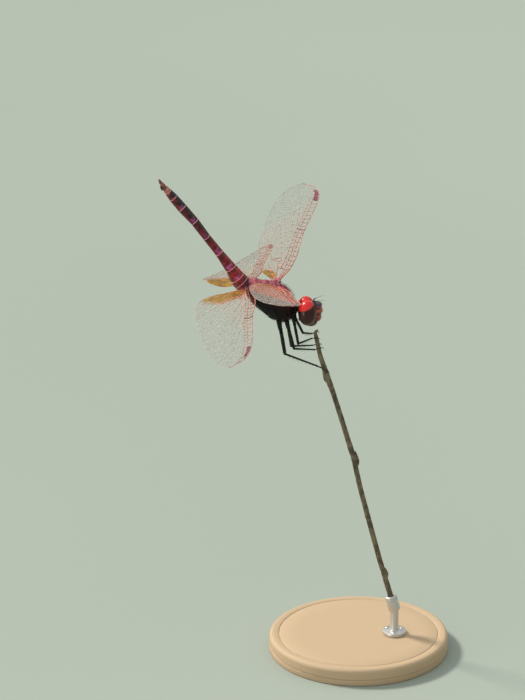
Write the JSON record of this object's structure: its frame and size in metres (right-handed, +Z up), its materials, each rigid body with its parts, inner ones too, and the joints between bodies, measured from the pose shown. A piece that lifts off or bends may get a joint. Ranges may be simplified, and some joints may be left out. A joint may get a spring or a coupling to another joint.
{
  "type": "dropwing dragonfly on a twig",
  "caption": "Still life-size model of a male violet dropwing dragonfly gripping a cut twig, wings swept forward and tail raised, on a plain display stand.",
  "frame": {"origin": "centre of the display stand's underside", "axes": "+X the way the insect faces, +Y its left side, +Z up"},
  "size_m": [0.0482, 0.0559, 0.0833],
  "materials": {
    "compound_eye": "glossy, finely faceted, bright red above and dark maroon below",
    "face_plate": "satin, red-orange to brown",
    "forehead_plate": "glossy, dark metallic violet",
    "thorax_cuticle": "satin, black-brown with a violet bloom and fine hairs",
    "leg_cuticle": "satin black",
    "wing_membrane": "clear film with red veins and amber bases",
    "abdomen_cuticle": "satin crimson-violet with a pale bloom and black marks",
    "twig_bark": "rough grey-brown bark",
    "stand_wood": "waxed pale wood",
    "stand_steel": "brushed"
  },
  "bodies": {
    "root": {"abdomen_1": "abdomen_cuticle", "abdomen_10": "abdomen_cuticle", "abdomen_2": "abdomen_cuticle", "abdomen_3": "abdomen_cuticle", "abdomen_4": "abdomen_cuticle", "abdomen_5": "abdomen_cuticle", "abdomen_6": "abdomen_cuticle", "abdomen_7": "abdomen_cuticle", "abdomen_8": "abdomen_cuticle", "abdomen_9": "abdomen_cuticle", "antenna_left": "leg_cuticle", "antenna_right": "leg_cuticle", "cercus_left": "abdomen_cuticle", "cercus_right": "abdomen_cuticle", "clypeus": "face_plate", "epiproct": "abdomen_cuticle", "eye_left": "compound_eye", "eye_right": "compound_eye", "femur_fore_left": "leg_cuticle", "femur_fore_right": "leg_cuticle", "femur_hind_left": "leg_cuticle", "femur_hind_right": "leg_cuticle", "femur_mid_left": "leg_cuticle", "femur_mid_right": "leg_cuticle", "forewing_left": "wing_membrane", "forewing_right": "wing_membrane", "frons": "forehead_plate", "head_capsule": "face_plate", "hindwing_left": "wing_membrane", "hindwing_right": "wing_membrane", "labium": "face_plate", "labrum": "face_plate", "prothorax": "thorax_cuticle", "stand_base": "stand_wood", "stand_rod": "stand_steel", "tarsus_fore_left": "leg_cuticle", "tarsus_fore_right": "leg_cuticle", "tarsus_hind_left": "leg_cuticle", "tarsus_hind_right": "leg_cuticle", "tarsus_mid_left": "leg_cuticle", "tarsus_mid_right": "leg_cuticle", "thorax": "thorax_cuticle", "tibia_fore_left": "leg_cuticle", "tibia_fore_right": "leg_cuticle", "tibia_hind_left": "leg_cuticle", "tibia_hind_right": "leg_cuticle", "tibia_mid_left": "leg_cuticle", "tibia_mid_right": "leg_cuticle", "twig": "twig_bark", "vertex": "forehead_plate"}
  },
  "joints": []
}
